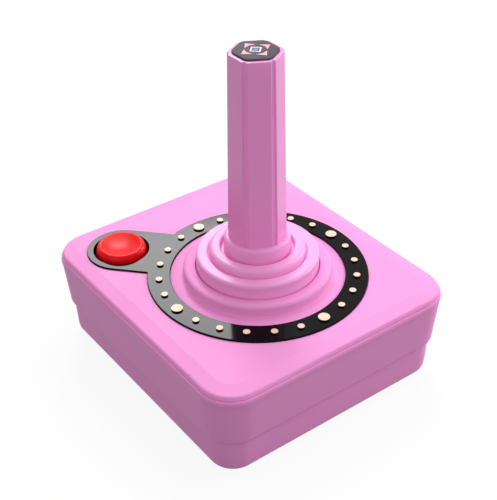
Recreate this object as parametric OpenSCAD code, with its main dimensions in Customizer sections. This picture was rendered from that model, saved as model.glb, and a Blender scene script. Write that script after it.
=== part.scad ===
// A one-button joystick controller: a boxy two-part casing, a black ring plate with studs,
// a stepped rubber boot and a six-sided grip that rocks on a small gimbal.
// Millimetres. +Z is up, the player sits at -Y and the fire button is at the back left.
// The origin is on the table, under the middle of the casing.

/* [Casing] */
// Width of the casing, left to right
case_w = 91.3; // [89:0.1:98]
// Depth of the casing, front to back
case_d = 101.2; // [99:0.1:110]
// Radius of the casing's upright corners
case_r = 11.5; // [10:0.5:13]
// Height of the lower casing, from its underside to the seam
lower_h = 12.6; // [12.2:0.1:16]
// Height of the upper casing, from the seam to the flat of its top
upper_h = 20.5; // [20:0.1:26]
// Thickness of the side walls
wall = 2.4; // [1.8:0.1:2.8]
// Thickness of the top
top_wall = 2.5; // [2:0.1:3]
// Thickness of the floor
floor_wall = 2.2; // [1.8:0.1:2.8]
// How far the upper walls lean in on their way down to the seam
draft = 1.66; // [0.8:0.1:2.2]
// How far the lower casing is set back from the upper one at the seam
seam_step = 1.1; // [0.8:0.1:1.3]
// Rounding of the underside's edge
base_round = 2.9; // [1.5:0.1:3.4]
// How far the groove round the top lies below the flat
groove_down = 1.7; // [1.4:0.1:2.4]
// Width of the little ledge in the groove
ledge_w = 0.35; // [0.2:0.05:0.6]
// Width of the bevel above the groove
bevel_w = 1.7; // [1.2:0.1:2.4]
// Width of the soft crown round the top face
crown_w = 9.5; // [7:0.5:12]
// How far the crown falls to the bevel
crown_drop = 0.7; // [0.3:0.05:0.9]

/* [Ring plate and studs] */
// Outer radius of the ring plate
plate_out_r = 35.7; // [34.8:0.1:36.2]
// Inner radius of the ring plate
plate_in_r = 28.4; // [27:0.1:29]
// Radius of the plate's tab round the fire button
tab_r = 11.35; // [10.6:0.05:11.8]
// How far the tab's edges are turned from the line between button and stick
tab_skew = 5.5; // [0:0.5:9]
// How far the plate stands above the casing's flat
plate_proud = 0.6; // [0.4:0.1:1]
// Depth of the pocket that the plate lies in
pocket_d = 0.4; // [0.3:0.1:0.8]
// Radius of the circle that the studs stand on
stud_circle_r = 32; // [31.4:0.1:32.6]
// Number of studs
stud_count = 24; // [12:4:24]
// Radius of a small stud
small_stud_r = 1.1; // [0.8:0.05:1.4]
// Radius of a large stud
large_stud_r = 1.85; // [1.5:0.05:2.1]
// Height of a stud with its top
stud_h = 0.6; // [0.5:0.05:1]
// Thickness of a stud's pale top
stud_top_t = 0.15; // [0.1:0.05:0.3]
// How far the studs are turned against the casing's sides
ring_turn = 2.05; // [0:0.05:5]

/* [Raised ring and boot] */
// Outer radius of the raised ring that is moulded on the casing
step_r = 24; // [23.6:0.1:25]
// Height of the raised ring above the casing's flat
step_h = 4.1; // [3.8:0.1:5]
// Rounding of the raised ring's outer edge
step_round = 1.4; // [0.8:0.1:1.6]
// Fillet between the raised ring and the flat
step_fillet = 1.8; // [1:0.1:2]
// Outer radius of the boot's lower step
fold2_r = 19.8; // [19.2:0.1:20.2]
// Outer radius of the boot's upper step
fold1_r = 15.4; // [15:0.1:15.8]
// Outer radius of the boot's collar
collar_r = 10.6; // [10.2:0.1:11]
// Height of the boot's lower step above the raised ring
fold2_h = 4.7; // [4.2:0.1:6]
// Height of the boot's upper step above the lower one
fold1_h = 2.4; // [2:0.1:3.5]
// Height of the collar above the upper step
collar_h = 4.1; // [3.5:0.1:6]
// Thickness of the rubber
rubber_t = 1.2; // [1:0.05:1.3]
// Gap between the boot and the edge of the casing's hole
boot_gap = 0.8; // [0.6:0.05:1]

/* [Stick] */
// Place of the stick's axis, to the right of the casing's middle
stick_x = 0.8; // [-1:0.1:3]
// Place of the stick's axis, behind the casing's middle
stick_y = -5.36; // [-6.4:0.01:-4.4]
// Depth of the tilt axes under the casing's flat
pivot_depth = 6.9; // [6.5:0.1:7.5]
// Length of the grip above the collar
grip_h = 61.7; // [50:0.1:75]
// How far the grip is turned against the casing's sides
grip_turn = 0; // [0:0.5:30]
// Distance from the axis to the grip's long faces, at the collar
grip_face = 8.49; // [8.2:0.01:8.8]
// Distance from the axis to the grip's narrow corner faces, at the collar
grip_corner = 9.28; // [9.2:0.01:9.4]
// Depth of the step beside the corner faces
corner_step = 0.25; // [0.1:0.05:0.35]
// Size of the grip's top against its foot
grip_taper = 0.887; // [0.87:0.001:0.95]
// Chamfer round the grip's top
grip_chamfer = 0.2; // [0.1:0.05:0.5]
// Width of the grip's rim beside the cap plate's long sides
rim_w = 1.2; // [1.1:0.01:1.4]
// Width of the grip's rim beside the cap plate's short sides
rim_corner_w = 1.37; // [1.3:0.01:1.5]
// How far the cap plate stands above the grip
cap_proud = 0.55; // [0.3:0.05:1]
// Radius of the core that runs up inside the grip
core_r = 5.2; // [4.8:0.1:5.6]

/* [Gimbal] */
// Inner radius of the gimbal ring
gimbal_in_r = 9.6; // [9.4:0.1:9.8]
// Outer radius of the gimbal ring
gimbal_out_r = 14.4; // [14:0.1:14.6]
// Height of the gimbal ring
gimbal_h = 6; // [5:0.2:6.4]
// Radius of the stick's hub in the gimbal
hub_r = 7; // [6.6:0.1:7.2]
// Radius of the pivot pins
pin_r = 1.5; // [1.2:0.05:1.7]
// Running clearance round a pin
pin_play = 0.05; // [0.03:0.01:0.08]
// Inner radius of the bracket that carries the gimbal
bracket_in_r = 16.4; // [16.2:0.1:16.6]

/* [Fire button] */
// Distance from the button's axis to the casing's left side
button_from_left = 17.7; // [17.2:0.1:18.4]
// Distance from the button's axis to the casing's back side
button_from_back = 18.46; // [18:0.1:19.2]
// Radius of the button's body
button_r = 8.35; // [7.6:0.05:8.6]
// Radius of the crest round the button's dish
crest_r = 6.95; // [6.2:0.05:7.2]
// Radius of the button's hole in the plate and the casing
button_hole_r = 9.24; // [9:0.02:9.4]
// Height of the button's crest above the plate
button_proud = 2; // [1.9:0.1:3]
// Depth of the dish in the button's top
dish_d = 0.75; // [0.3:0.05:1.2]
// Travel of the button
button_travel = 1.8; // [1.2:0.1:2]
// Radius of the button's stem
stem_r = 2.5; // [2.2:0.1:2.8]
// Thickness of the spring's wire
spring_wire = 0.7; // [0.5:0.05:0.8]
// Mean radius of the spring
spring_r = 4; // [3.8:0.1:4.6]
// Number of turns of the spring
spring_turns = 3; // [2.5:0.25:3]

/* [Board] */
// Height of the board above the inner floor
board_up = 6; // [5.5:0.1:6.5]
// Thickness of the board
board_t = 1.6; // [1:0.1:1.8]
// Height of a rubber dome
dome_h = 4; // [3.5:0.1:4.2]
// Distance of the four direction domes from the stick's axis
dome_dist = 11.5; // [11:0.1:12]
// Gap between a dome and what presses it
dome_gap = 0.3; // [0.2:0.05:0.5]

/* [Fasteners, feet and inlet] */
// Distance of the casing screws from the stick's axis, front and back
screw_dy = 22; // [20:0.5:23]
// Distance of the casing screws from the casing's sides
screw_in = 10.15; // [9.5:0.1:10.5]
// Radius of a casing screw's shank
screw_r = 1.3; // [1.1:0.05:1.5]
// Radius of a casing screw's head
screw_head_r = 2.8; // [2.4:0.1:3]
// Radius of a small screw's shank
small_screw_r = 0.9; // [0.7:0.05:1]
// Radius of a small screw's head
small_head_r = 1.8; // [1.5:0.1:2]
// Radius of a rubber foot
foot_r = 5; // [4:0.1:5.4]
// Distance of a foot's middle from the casing's sides
foot_in = 12; // [11:0.1:13]
// How far a foot stands out of the underside
foot_proud = 0.8; // [0.6:0.1:1.5]
// Radius of the cable inlet's bore
inlet_r = 2.6; // [2:0.1:3]
// Thickness of the rubber round the inlet's bore
inlet_wall = 1; // [0.8:0.1:1.3]

/* [Hidden] */
$fn = 64;

// A hair's breadth that cuts run past a face
eps = 0.01;
// Clearance between pieces that are assembled and don't move
fit = 0.05;
// Clearance between a loose piece and the wall beside it
slack = 0.3;
// Clearance between a screw's shank and the hole that it passes through
screw_clear = 0.2;

// Heights above the table
z_under = foot_proud;
z_floor = z_under + floor_wall;
z_seam = z_under + lower_h;
z_top = z_seam + upper_h;
z_ceiling = z_top - top_wall;
z_groove = z_top - groove_down;
z_plate = z_top + plate_proud;
z_stud = z_plate + stud_h;
z_step = z_top + step_h;
z_fold2 = z_step + fold2_h;
z_fold1 = z_fold2 + fold1_h;
z_collar = z_fold1 + collar_h;
z_grip = z_collar + grip_h;
z_cap = z_grip + cap_proud;
z_pivot = z_top - pivot_depth;
z_board = z_floor + board_up;
z_board_top = z_board + board_t;
z_dome = z_board_top + dome_h;
z_press = z_dome + dome_gap;
z_crest = z_plate + button_proud;

// Casing
edge_round = 0.75;
pocket_gap = 0.1;
corner_fn = 32;
hole_r = fold2_r + boot_gap;
recess_r = hole_r + 1.2;
z_recess = z_step - 2.4;
lower_inset = draft + seam_step;
lower_lean = 0.35;
lip_h = 2;
lip_t = 1;

// Fire button
button_x = -case_w / 2 + button_from_left;
button_y = case_d / 2 - button_from_back;
tab_angle = atan2(stick_y - button_y, stick_x - button_x) + tab_skew;
tab_len = 30;
guide_collar_t = 1.6;
flange_r = button_hole_r + 1.06;
flange_t = 1.6;
z_flange = z_ceiling - 2.2;
spring_room = 5.1;
guide_t = 1.6;
z_guide = z_flange - flange_t - spring_room;
guide_boss_r = 2.8;
guide_screw_dist = flange_r + guide_boss_r + slack;
guide_plate_r = 6.5;
guide_arm_w = 5.6;
guide_play = 0.06;
guide_screw_grip = 5;
spring_sides = 6;
spring_rings = 12;
spring_low = z_guide + spring_wire / 2 + fit;
spring_rise = spring_room - spring_wire - 2 * fit;
button_shoulder_h = 2.6;
crest_w = 0.25;

// Boot, gimbal and stick
flange_boot_r = recess_r - slack;
z_boot_flange = z_recess - rubber_t;
fold2_round = 1;
fold1_round = 1.3;
collar_round = 1;
groove1_w = 1.25;
groove2_w = 0.45;
z_split = z_fold2 - 0.8;
split_gap = 0.05;
groove1_d = 2.5;
groove2_d = 1.4;
lip_round = 0.5;
collar_top_t = 1.6;
bracket_wall = 3;
bracket_out_r = bracket_in_r + bracket_wall;
pin_press = 0.02;
bracket_t = 2.4;
bracket_rise = 1.6;
bracket_drop = 4.4;
z_bracket = z_pivot - 2;
lug_r = 3;
lug_dist = recess_r + lug_r + 1.2;
lug_grip = 3.4;
lug_lap = 0.4;
hub_h = 7;
finger_r = 2.2;
arm_w = 5;
arm_t = 2.6;
finger_h = 1.6;
z_arm = z_press + finger_h;
z_core = z_arm + arm_t;
shoulder_t = 1.6;
stem_cap_r = 2;
cap_stem = 4;
cap_sunk = 1;
inlay_t = 0.1;
arrow_foot = 2.7;
arrow_notch = 3.3;
arrow_tip = 5.2;
arrow_w = 4;
frame_out_w = 3.1;
frame_in_w = 2.2;
diamond_w = 1.4;
cap_face = grip_face * grip_taper - rim_w;
cap_corner = grip_corner * grip_taper - rim_corner_w;
actuator_grip = 4;

// Board
board_hole_r = 1.1;
board_screw_grip = 3.6;
board_half = 24;
board_edge = 3.5;
board_back = 22;
island_w = 20;
island_h = 16.5;
island_left = 7;
island_front = 8.5;
bridge_w = 9;
tail_w = 20;
tail_out = 4;
board_points = [
    [stick_x - board_half + board_edge, stick_y - board_half + board_edge],
    [stick_x + board_half - board_edge, stick_y - board_half + board_edge],
    [stick_x + board_half - board_edge, stick_y + board_back - board_edge],
    [button_x - island_left + island_w - board_edge, button_y + board_edge]];
post_r = 2.6;
terminal_count = 6;
terminal_pitch = 3;
terminal_x = stick_x + 6;
terminal_y = case_d / 2 - 22;
terminal_w = 2.2;
terminal_foot = 1.6;
terminal_t = 0.5;
terminal_h = 5;
dome_r = 5;
dome_top_r = 2.9;
dome_crown_t = 1;
dome_rim_t = 0.7;
dome_foot_w = 1.5;
dome_wall = 0.5;
pill_r = 1.7;
pill_t = 0.8;

// Screws and feet
screw_spots = [for (sx = [-1, 1], sy = [-1, 1])
    [sx * (case_w / 2 - screw_in), stick_y + sy * screw_dy]];
screw_seat = 2.2;
screw_boss_r = 3.4;
boss_wall = 1.6;
z_screw_seat = z_under + floor_wall + screw_seat;
z_boss_meet = z_screw_seat + 3.6;
casing_screw_l = 15;
inlet_lip = 1;
inlet_lip_t = 0.6;
inlet_pad_r = inlet_r + inlet_wall + inlet_lip + 0.4;
z_inlet = z_seam + lip_h + inlet_r + inlet_wall + inlet_lip + 0.5;
foot_sunk = 0.8;
foot_gap = 0.1;
z_foot_top = z_under + foot_sunk;

// The pads' faces stand just clear of the leaning wall, outside at their top, inside at their foot
inlet_face = case_d / 2 - wall_inset(z_inlet + inlet_pad_r) + 0.1;
inlet_back = case_d / 2 - wall_inset(z_inlet - inlet_pad_r) - wall - 0.1;

// Points on an arc, for outlines
function arc(x, y, r, a0, a1, n = 8) =
    [for (i = [0:n]) let (a = a0 + (a1 - a0) * i / n) [x + r * cos(a), y + r * sin(a)]];

// How far the upper casing's wall is set in at height z
function wall_inset(z) = draft * (z_groove - z) / (z_groove - z_seam);

// A convex shell lofted through rounded rectangles; each entry is [inset, height]
module lofted(profile) {
    hull()
        for (p = profile, sx = [-1, 1], sy = [-1, 1]) {
            r = max(case_r - p[0], 2);
            translate([sx * (case_w / 2 - p[0] - r), sy * (case_d / 2 - p[0] - r), p[1] - eps])
                cylinder(h = eps, r = r, $fn = corner_fn);
        }
}

module at_stick() translate([stick_x, stick_y, 0]) children();
module at_button() translate([button_x, button_y, 0]) children();
module tube(r_out, r_in, z0, z1) {
    translate([0, 0, z0]) difference() {
        cylinder(h = z1 - z0, r = r_out);
        translate([0, 0, -eps]) cylinder(h = z1 - z0 + 2 * eps, r = r_in);
    }
}
module rod(r, z0, z1) translate([0, 0, z0]) cylinder(h = z1 - z0, r = r);

// The outline of the ring plate, grown by a clearance; holes are cut where asked
module plate_outline(grow = 0, holes = true) {
    difference() {
        union() {
            translate([stick_x, stick_y]) circle(r = plate_out_r + grow, $fn = 128);
            translate([button_x, button_y]) circle(r = tab_r + grow, $fn = 96);
            translate([button_x, button_y]) rotate(tab_angle)
                translate([0, -tab_r - grow]) square([tab_len, 2 * (tab_r + grow)]);
        }
        translate([stick_x, stick_y]) circle(r = plate_in_r - grow, $fn = 128);
        if (holes) translate([button_x, button_y]) circle(r = button_hole_r, $fn = 96);
    }
}

module raised_ring() {
    at_stick() rotate_extrude($fn = 128)
        polygon(concat(
            [[hole_r - 2, z_top - 1]],
            [[hole_r - 2, z_step]],
            arc(step_r - step_round, z_step - step_round, step_round, 90, 0),
            arc(step_r + step_fillet, z_top + step_fillet, step_fillet, 180, 270),
            [[step_r + step_fillet, z_top - 1]]));
}

module upper_casing() {
    color("plum") difference() {
        union() {
            difference() {
                union() {
                    lofted([
                        [draft + edge_round, z_seam + eps],
                        [draft + 0.3 * edge_round, z_seam + 0.3 * edge_round],
                        [wall_inset(z_seam + edge_round), z_seam + edge_round],
                        [0, z_groove - 0.12],
                        [0.12, z_groove]]);
                    lofted(concat(
                        [[ledge_w, z_groove - 1]],
                        [for (t = [0:0.25:1]) [ledge_w + (bevel_w - ledge_w) * t,
                            z_groove + (groove_down - crown_drop) * (1.4 * t - 0.4 * t * t)]],
                        [for (s = [0.2:0.2:1]) [bevel_w + (crown_w - bevel_w) * s,
                            z_top - crown_drop * (1 - s) * (1 - s)]]));
                    raised_ring();
                }
                lofted([
                    [draft + wall, z_seam - eps],
                    [wall_inset(z_ceiling - 2) + wall, z_ceiling - 2],
                    [wall + 2, z_ceiling]]);
            }
            at_button() rod(button_hole_r + guide_collar_t, z_flange + 0.2, z_ceiling + 1);
            for (a = [-1, 1]) at_button() rotate(tab_angle)
                translate([a * guide_screw_dist, 0, 0])
                    rod(guide_boss_r, z_guide, z_ceiling + 1);
            for (p = screw_spots) translate([p[0], p[1], 0])
                rod(screw_boss_r, z_boss_meet, z_ceiling + 1);
            for (k = [0:3]) at_stick() rotate(45 + 90 * k) translate([lug_dist, 0, 0])
                rod(lug_r, z_bracket + bracket_t, z_ceiling + 1);
            inlet_pad();
        }
        at_stick() rod(recess_r, z_ceiling - 1, z_recess);
        at_stick() rod(hole_r, z_ceiling - 1, z_step + 1);
        at_button() rod(button_hole_r, z_flange - 1, z_top + 1);
        translate([0, 0, z_top - pocket_d]) linear_extrude(pocket_d + 1) plate_outline(pocket_gap, false);
        for (a = [-1, 1]) at_button() rotate(tab_angle) translate([a * guide_screw_dist, 0, 0])
            rod(small_screw_r + fit, z_guide - 1, z_ceiling);
        for (p = screw_spots) translate([p[0], p[1], 0])
            rod(screw_r + fit, z_boss_meet - 1, z_ceiling - 1);
        for (k = [0:3]) at_stick() rotate(45 + 90 * k) translate([lug_dist, 0, 0])
            rod(small_screw_r + fit, z_bracket, z_ceiling + 0.5);
        translate([0, case_d / 2 + 1, z_inlet]) rotate([90, 0, 0])
            cylinder(h = wall + 8, r = inlet_r + inlet_wall + fit);
    }
}

// Flat pads on both sides of the rear wall, round the cable inlet
module inlet_pad() {
    translate([0, inlet_face, z_inlet]) rotate([90, 0, 0])
        cylinder(h = inlet_face - inlet_back, r = inlet_pad_r);
}

module lower_casing() {
    color("plum") difference() {
        union() {
            difference() {
                lofted(concat(
                    [for (a = [0:22.5:90])
                        [lower_inset + lower_lean + base_round * (1 - sin(a)),
                         z_under + eps + base_round * (1 - cos(a))]],
                    [[lower_inset, z_seam]]));
                lofted([
                    [lower_inset + wall + base_round - 0.5, z_floor],
                    [lower_inset + wall + lower_lean, z_floor + base_round - 0.5],
                    [lower_inset + wall, z_seam + 1]]);
            }
            difference() {
                lofted([[draft + wall + slack, z_seam - 1], [draft + wall + slack, z_seam + lip_h]]);
                lofted([[draft + wall + slack + lip_t, z_seam - 2],
                    [draft + wall + slack + lip_t, z_seam + lip_h + 1]]);
            }
            for (p = screw_spots) translate([p[0], p[1], 0])
                rod(screw_head_r + boss_wall, z_floor - 1, z_boss_meet);
            for (p = board_points) translate([p[0], p[1], 0]) rod(post_r, z_floor - 1, z_board);
        }
        for (p = screw_spots) translate([p[0], p[1], 0]) {
            rod(screw_head_r + 2 * screw_clear, z_under - 1, z_screw_seat);
            rod(screw_r + 2 * screw_clear, z_under, z_boss_meet + 1);
        }
        for (p = board_points) translate([p[0], p[1], 0])
            rod(small_screw_r + fit, z_floor + 0.5, z_board + 1);
        for (sx = [-1, 1], sy = [-1, 1]) foot_spot(sx, sy)
            rod(foot_r + foot_gap, z_under - 1, z_foot_top);
    }
}

module ring_plate() {
    color([0.08, 0.08, 0.09]) translate([0, 0, z_top - pocket_d])
        linear_extrude(z_plate - z_top + pocket_d) plate_outline();
}

// The studs stand on a circle; every sixth one is large
module stud_spots(large) {
    every = floor(stud_count / 4);
    for (k = [0:stud_count - 1])
        if ((k % every == 0) == large)
            at_stick() rotate(ring_turn + 360 * k / stud_count)
                translate([stud_circle_r, 0, 0]) children();
}
module small_studs() color("black") stud_spots(false) rod(small_stud_r, z_plate, z_stud - stud_top_t);
module large_studs() color("black") stud_spots(true) rod(large_stud_r, z_plate, z_stud - stud_top_t);
module small_stud_tops()
    color("bisque") stud_spots(false) rod(small_stud_r, z_stud - stud_top_t, z_stud);
module large_stud_tops()
    color("bisque") stud_spots(true) rod(large_stud_r, z_stud - stud_top_t, z_stud);

// The boot's lower step and the flange that is clamped under the raised ring
module boot_skirt() {
    lip_r = fold1_r + groove2_w;
    z_fold = z_fold2 - groove2_d;
    color("violet") at_stick() rotate_extrude($fn = 128) polygon(concat(
        [[fold1_r - rubber_t, z_split], [fold1_r, z_split], [fold1_r, z_fold], [lip_r, z_fold]],
        arc(lip_r + lip_round, z_fold2 - lip_round, lip_round, 180, 90, 4),
        arc(fold2_r - fold2_round, z_fold2 - fold2_round, fold2_round, 90, 0, 6),
        [[fold2_r, z_recess], [flange_boot_r, z_recess], [flange_boot_r, z_boot_flange],
         [fold2_r - rubber_t, z_boot_flange], [fold2_r - rubber_t, z_fold2 - rubber_t],
         [lip_r + rubber_t, z_fold2 - rubber_t], [lip_r + rubber_t, z_fold - rubber_t],
         [fold1_r - rubber_t, z_fold - rubber_t]]));
}

// The boot's upper step and its collar, which the grip stands on
module boot_neck() {
    lip_r = collar_r + groove1_w;
    z_fold = z_fold1 - groove1_d;
    color("violet") at_stick() rotate_extrude($fn = 128) polygon(concat(
        [[core_r + fit, z_collar]],
        arc(collar_r - collar_round, z_collar - collar_round, collar_round, 90, 0, 6),
        [[collar_r, z_fold], [lip_r, z_fold]],
        arc(lip_r + lip_round, z_fold1 - lip_round, lip_round, 180, 90, 4),
        arc(fold1_r - fold1_round, z_fold1 - fold1_round, fold1_round, 90, 0, 6),
        [[fold1_r, z_split + split_gap], [fold1_r - rubber_t, z_split + split_gap],
         [fold1_r - rubber_t, z_fold1 - rubber_t], [lip_r + rubber_t, z_fold1 - rubber_t],
         [lip_r + rubber_t, z_fold - rubber_t], [collar_r - rubber_t, z_fold - rubber_t],
         [collar_r - rubber_t, z_collar - collar_top_t], [core_r + fit, z_collar - collar_top_t]]));
}

module boot_clamp_ring() {
    color("dimgray") at_stick()
        tube(flange_boot_r, bracket_out_r + 0.1, z_bracket + bracket_t, z_boot_flange);
}

// A bearing tube with a flange, hung from four bosses under the top
module gimbal_bracket() {
    color("slategray") at_stick() difference() {
        union() {
            rod(bracket_out_r, z_pivot - bracket_drop, z_bracket + bracket_t + bracket_rise);
            rod(lug_dist - 1, z_bracket, z_bracket + bracket_t);
            for (k = [0:3]) rotate(45 + 90 * k) translate([lug_dist, 0, 0])
                rod(lug_r + lug_lap, z_bracket, z_bracket + bracket_t);
        }
        rod(bracket_in_r, z_pivot - 6, z_pivot + 6);
        translate([-bracket_out_r - 0.2, 0, z_pivot]) rotate([0, 90, 0])
            cylinder(h = 2 * bracket_out_r + 0.4, r = pin_r + pin_play);
        for (k = [0:3]) rotate(45 + 90 * k) translate([lug_dist, 0, 0])
            rod(small_screw_r + screw_clear, z_bracket - 1, z_bracket + bracket_t + 1);
    }
}

// A pan-head screw with its head's underside at height 0, pointing up
module screw(shank_r, head_r, length) {
    head_h = 0.62 * head_r;
    difference() {
        union() {
            rod(head_r, -head_h, 0);
            rod(shank_r, -eps, length);
        }
        for (a = [0, 90]) rotate(a) translate([-0.6 * head_r, -0.13 * head_r, -head_h - eps])
            cube([1.2 * head_r, 0.26 * head_r, 0.55 * head_h]);
    }
}

module bracket_screws() {
    color("silver") for (k = [0:3]) at_stick() rotate(45 + 90 * k)
        translate([lug_dist, 0, z_bracket]) screw(small_screw_r, small_head_r, bracket_t + lug_grip);
}

module board_outline() {
    translate([stick_x - board_half, stick_y - board_half])
        square([2 * board_half, board_half + board_back]);
    translate([button_x - island_left, button_y - island_front]) square([island_w, island_h]);
    translate([button_x - island_left + island_w - bridge_w, stick_y + board_back - 1])
        square([bridge_w, button_y - stick_y - board_back + 1]);
    translate([terminal_x - tail_w / 2, stick_y + board_back - 1])
        square([tail_w, terminal_y - stick_y - board_back + 1 + tail_out]);
}

module circuit_board() {
    color("seagreen") translate([0, 0, z_board]) difference() {
        linear_extrude(board_t) board_outline();
        for (p = board_points) translate([p[0], p[1], -1]) cylinder(h = board_t + 2, r = board_hole_r);
    }
}

module board_screws() {
    color("silver") for (p = board_points) translate([p[0], p[1], z_board_top])
        mirror([0, 0, 1]) screw(small_screw_r, small_head_r, board_t + board_screw_grip);
}

module board_terminals() {
    color("silver") for (k = [0:terminal_count - 1])
        translate([terminal_x + (k - (terminal_count - 1) / 2) * terminal_pitch - terminal_w / 2,
            terminal_y, z_board_top]) {
            cube([terminal_w, terminal_foot, terminal_t]);
            cube([terminal_w, terminal_t, terminal_h]);
        }
}

// A hollow rubber dome with a carbon pill in its crown, standing on the board
module dome() {
    z_crown = dome_h - dome_crown_t;
    color("lightgray") translate([0, 0, z_board_top]) rotate_extrude($fn = 48) polygon([
        [dome_r, 0], [dome_r, dome_rim_t], [dome_r - dome_rim_t, dome_rim_t + 0.1],
        [dome_top_r + 0.2, dome_h - 0.2], [dome_top_r, dome_h], [0, dome_h],
        [0, z_crown - pill_t], [pill_r, z_crown - pill_t], [pill_r, z_crown],
        [dome_top_r - dome_wall, z_crown], [dome_r - dome_foot_w, dome_wall],
        [dome_r - dome_foot_w, 0]]);
}
module dome_front() at_stick() translate([0, -dome_dist, 0]) dome();
module dome_back() at_stick() translate([0, dome_dist, 0]) dome();
module dome_left() at_stick() translate([-dome_dist, 0, 0]) dome();
module dome_right() at_stick() translate([dome_dist, 0, 0]) dome();
module dome_fire() at_button() dome();

// A rubber grommet in the rear wall, for the cable
module cable_bush() {
    body_r = inlet_r + inlet_wall;
    color([0.12, 0.12, 0.12]) translate([0, 0, z_inlet]) rotate([-90, 0, 0]) difference() {
        union() {
            rod(body_r + inlet_lip, inlet_back - inlet_lip_t, inlet_back);
            rod(body_r, inlet_back - eps, inlet_face + eps);
            rod(body_r + inlet_lip, inlet_face, inlet_face + inlet_lip_t);
        }
        rod(inlet_r, inlet_back - 2, inlet_face + 2);
    }
}

module casing_screws() {
    color("silver") for (p = screw_spots) translate([p[0], p[1], z_screw_seat])
        screw(screw_r, screw_head_r, casing_screw_l);
}

module foot_spot(sx, sy)
    translate([sx * (case_w / 2 - foot_in), sy * (case_d / 2 - foot_in), 0]) children();
module foot(sx, sy) color([0.2, 0.2, 0.2]) foot_spot(sx, sy) rod(foot_r, 0, z_foot_top);
module foot_front_left() foot(-1, -1);
module foot_front_right() foot(1, -1);
module foot_back_left() foot(-1, 1);
module foot_back_right() foot(1, 1);

// The strap under the button that guides its stem and carries its spring
module button_guide() {
    color("slategray") at_button() rotate(tab_angle) difference() {
        union() {
            rod(guide_plate_r, z_guide - guide_t, z_guide);
            translate([-guide_screw_dist, -guide_arm_w / 2, z_guide - guide_t])
                cube([2 * guide_screw_dist, guide_arm_w, guide_t]);
            for (a = [-1, 1]) translate([a * guide_screw_dist, 0, 0])
                rod(guide_boss_r, z_guide - guide_t, z_guide);
        }
        rod(stem_r + guide_play, z_guide - guide_t - 1, z_guide + 1);
        for (a = [-1, 1]) translate([a * guide_screw_dist, 0, 0])
            rod(small_screw_r + screw_clear, z_guide - guide_t - 1, z_guide + 1);
    }
}

module guide_screws() {
    color("silver") for (a = [-1, 1]) at_button() rotate(tab_angle)
        translate([a * guide_screw_dist, 0, z_guide - guide_t])
            screw(small_screw_r, small_head_r, guide_t + guide_screw_grip);
}

// The return spring: one unbroken coil of wire from the guide up to the button's flange
function coil_point(turn) = [spring_r * cos(360 * turn), spring_r * sin(360 * turn),
    spring_low + spring_rise * turn / spring_turns];
module button_spring() {
    count = ceil(spring_turns * spring_rings);
    points = [for (i = [0:count], j = [0:spring_sides - 1])
        let (turn = spring_turns * i / count, a = 360 * j / spring_sides,
             c = coil_point(turn), out = [cos(360 * turn), sin(360 * turn), 0])
        c + spring_wire / 2 * (cos(a) * out + sin(a) * [0, 0, 1])];
    sides = [for (i = [0:count - 1], j = [0:spring_sides - 1])
        let (k = (j + 1) % spring_sides, a = i * spring_sides + j, b = i * spring_sides + k,
             c = b + spring_sides, d = a + spring_sides)
        each [[a, b, d], [b, c, d]]];
    last = count * spring_sides;
    ends = concat([for (j = [1:spring_sides - 2]) [0, j + 1, j]],
        [for (j = [1:spring_sides - 2]) [last, last + j, last + j + 1]]);
    echo(spring_gap = spring_rise / spring_turns - spring_wire);
    color("silver") at_button() polyhedron(points = points, faces = concat(sides, ends));
}

module gimbal_ring() {
    color("lightsteelblue") at_stick() difference() {
        tube(gimbal_out_r, gimbal_in_r, z_pivot - gimbal_h / 2, z_pivot + gimbal_h / 2);
        for (a = [0, 90]) rotate(a) translate([-gimbal_out_r - 1, 0, z_pivot]) rotate([0, 90, 0])
            cylinder(h = 2 * gimbal_out_r + 2, r = pin_r + pin_press);
    }
}

module pin(x0, x1) {
    translate([x0, 0, z_pivot]) rotate([0, 90, 0]) cylinder(h = x1 - x0, r = pin_r);
}
module outer_pins() {
    color("silver") at_stick() for (a = [0, 180]) rotate(a)
        pin(gimbal_in_r + 0.6, bracket_out_r - 0.4);
}
module inner_pins() {
    color("silver") at_stick() for (a = [90, 270]) rotate(a) pin(3.6, gimbal_out_r - 0.2);
}

// The stick's core: a hub for the pins, a shoulder under the collar and a shaft up the grip
module stick_core() {
    z_end = z_grip - cap_sunk - 0.1;
    color("whitesmoke") at_stick() difference() {
        union() {
            rod(core_r, z_core, z_end);
            rod(hub_r, z_pivot - hub_h / 2, z_pivot + hub_h / 2);
            rod(collar_r - rubber_t - 0.5, z_collar - collar_top_t - shoulder_t,
                z_collar - collar_top_t);
        }
        translate([0, -hub_r - 1, z_pivot]) rotate([-90, 0, 0])
            cylinder(h = 2 * hub_r + 2, r = pin_r + pin_play);
        rod(screw_r + fit, z_core - 1, z_core + actuator_grip + 0.4);
        rod(stem_cap_r + fit, z_grip - cap_sunk - cap_stem - 0.3, z_grip);
    }
}

// Corner points of a six-sided outline whose corners are cut by narrow faces
function twelve_points(face, corner) = let (y = 2 * (corner - face * cos(30)))
    [for (k = [0:5], s = [-1, 1]) turned([face, s * y], 60 * k)];
function turned(p, a) = [p[0] * cos(a) - p[1] * sin(a), p[0] * sin(a) + p[1] * cos(a)];

// A block beyond a plane that leans inwards and passes the point [out, 0, z]
module beyond(out, z, lean, w = 40) {
    translate([out, 0, z]) rotate([0, -lean, 0])
        translate([0, -w / 2, -2]) cube([20, w, grip_h + 10]);
}

// How far a face of the grip leans in, for the grip's size to taper as asked
function grip_lean(out) = atan(out * (1 - grip_taper) / grip_h);

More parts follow.
